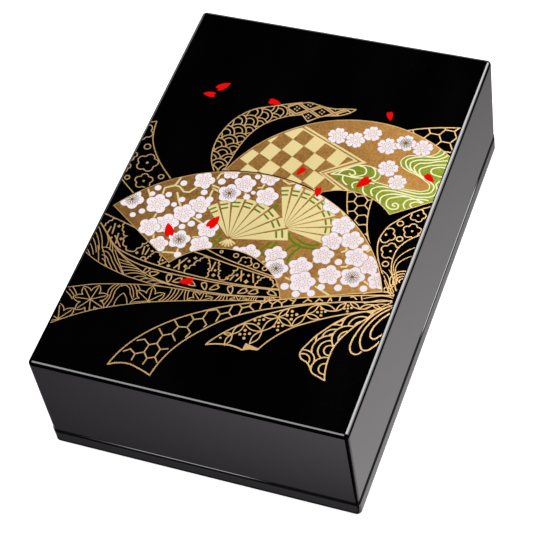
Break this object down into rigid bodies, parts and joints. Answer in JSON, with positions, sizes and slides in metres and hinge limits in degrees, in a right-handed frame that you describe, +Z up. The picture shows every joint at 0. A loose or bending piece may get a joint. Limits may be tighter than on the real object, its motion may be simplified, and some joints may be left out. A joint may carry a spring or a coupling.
{
  "type": "lacquer jewelry box",
  "caption": "Oblong black lacquer box with a deep lift-off lid over a shallow banded base, hollow inside; the lid top carries a gold fan, ribbon and blossom design.",
  "frame": {"origin": "middle of the underside, on the plane that the box stands on", "axes": "+Z up; +Y along the long side, away from the short side that the picture shows as the front; +X to the right along that front"},
  "size_m": [0.1624, 0.2404, 0.069],
  "materials": {
    "black_lacquer": "polished black lacquer over moulded resin",
    "gold_line_ink": "printed gold outlines",
    "fan_gold_ink": "printed brown gold ground of the fans",
    "pale_gold_ink": "printed pale gold",
    "white_ink": "printed white",
    "rose_ink": "printed rose gold stamens",
    "green_ink": "printed green",
    "red_ink": "printed red",
    "dark_ink": "printed dark brown"
  },
  "bodies": {
    "root": {"lid": "black_lacquer", "base": "black_lacquer"}
  },
  "joints": []
}
